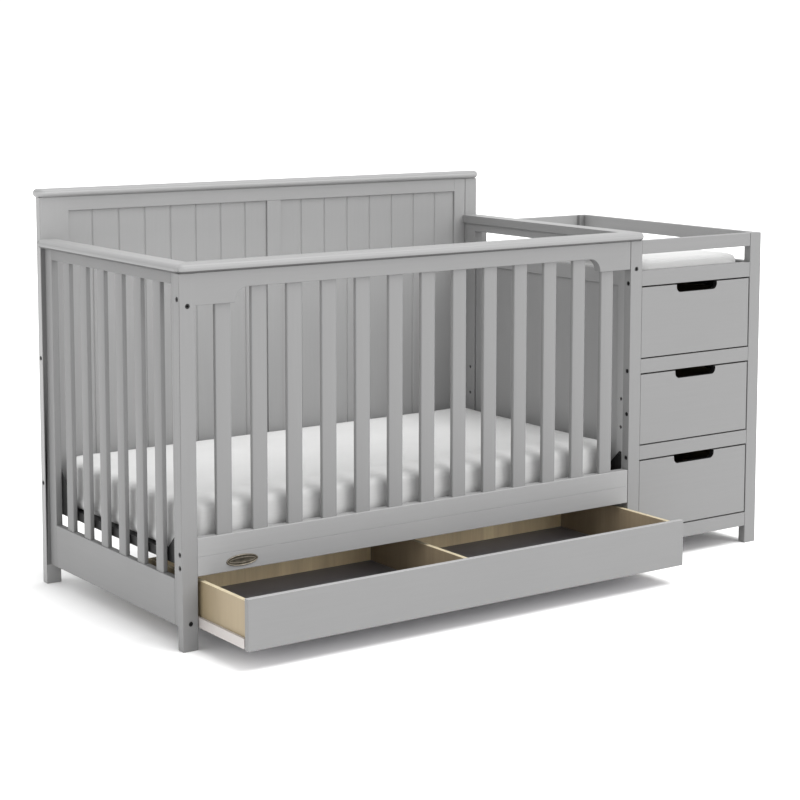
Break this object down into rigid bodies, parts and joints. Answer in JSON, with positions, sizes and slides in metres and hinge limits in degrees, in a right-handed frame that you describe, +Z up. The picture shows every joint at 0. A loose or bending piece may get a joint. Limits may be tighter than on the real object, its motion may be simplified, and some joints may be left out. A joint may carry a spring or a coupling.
{
  "type": "crib with attached changer",
  "caption": "Painted full-size crib with a built-on changer, changer drawers and a wide under-crib drawer on slides, shown part way out.",
  "frame": {"origin": "on the floor, under the middle of the whole piece with its wide drawer part way out", "axes": "+X from the crib to the changer, +Y from the front to the headboard, +Z up"},
  "size_m": [1.838, 0.965, 1.023],
  "materials": {
    "painted_wood": "satin light grey paint over wood",
    "linen": "plain white woven cover, padded",
    "bare_wood": "clear-coated pale softwood board",
    "dark_board": "thin board with a dark grey face",
    "white_steel": "off-white epoxy on sheet steel",
    "black_steel": "black epoxy on steel",
    "bronze": "dark antiqued bronze, satin"
  },
  "bodies": {
    "crib_frame": {"front_left_post": "painted_wood", "front_top_rail": "painted_wood", "front_bottom_rail": "painted_wood", "front_apron": "painted_wood", "front_slats": "painted_wood", "front_cap": "painted_wood", "oval_badge": "bronze", "end_stiles": "painted_wood", "end_top_rail": "painted_wood", "end_bottom_rail": "painted_wood", "end_slats": "painted_wood", "end_cap": "painted_wood", "headboard_left_post": "painted_wood", "headboard_right_post": "painted_wood", "headboard_outer_stiles": "painted_wood", "headboard_centre_stile": "painted_wood", "headboard_top_rail": "painted_wood", "headboard_bottom_rail": "painted_wood", "headboard_boards": "painted_wood", "headboard_cap": "painted_wood", "support_frame": "black_steel", "support_wires": "black_steel", "support_hangers": "black_steel", "mattress": "linen", "crib_drawer_tracks": "white_steel", "changer_front_left_post": "painted_wood", "changer_front_right_post": "painted_wood", "changer_rear_posts": "painted_wood", "changer_front_top_rail": "painted_wood", "changer_right_top_rail": "painted_wood", "changer_back_top_rail": "painted_wood", "changer_left_cap": "painted_wood", "changer_tray_front_rail": "painted_wood", "changer_tray_back_rail": "painted_wood", "changer_left_side": "painted_wood", "changer_right_side": "painted_wood", "changer_back_panel": "painted_wood", "changer_drawer_rails": "painted_wood", "changer_drawer_tracks": "white_steel", "tray_board": "painted_wood", "changing_pad": "linen", "frame_bolts": "black_steel"},
    "crib_drawer": {"crib_drawer_front": "painted_wood", "crib_drawer_sides": "bare_wood", "crib_drawer_back": "bare_wood", "crib_drawer_divider": "bare_wood", "crib_drawer_bottom": "dark_board", "crib_drawer_runners": "white_steel"},
    "top_drawer": {"top_drawer_front": "painted_wood", "top_drawer_box": "bare_wood", "top_drawer_bottom": "dark_board", "top_drawer_runners": "white_steel"},
    "middle_drawer": {"middle_drawer_front": "painted_wood", "middle_drawer_box": "bare_wood", "middle_drawer_bottom": "dark_board", "middle_drawer_runners": "white_steel"},
    "bottom_drawer": {"bottom_drawer_front": "painted_wood", "bottom_drawer_box": "bare_wood", "bottom_drawer_bottom": "dark_board", "bottom_drawer_runners": "white_steel"}
  },
  "joints": [
    {"name": "crib_drawer_slide", "type": "slide", "parent": "crib_frame", "child": "crib_drawer", "axis": [0, -1, 0], "range_m": [-0.218, 0.122]},
    {"name": "top_drawer_slide", "type": "slide", "parent": "crib_frame", "child": "top_drawer", "axis": [0, -1, 0], "range_m": [0, 0.34]},
    {"name": "middle_drawer_slide", "type": "slide", "parent": "crib_frame", "child": "middle_drawer", "axis": [0, -1, 0], "range_m": [0, 0.34]},
    {"name": "bottom_drawer_slide", "type": "slide", "parent": "crib_frame", "child": "bottom_drawer", "axis": [0, -1, 0], "range_m": [0, 0.34]}
  ]
}
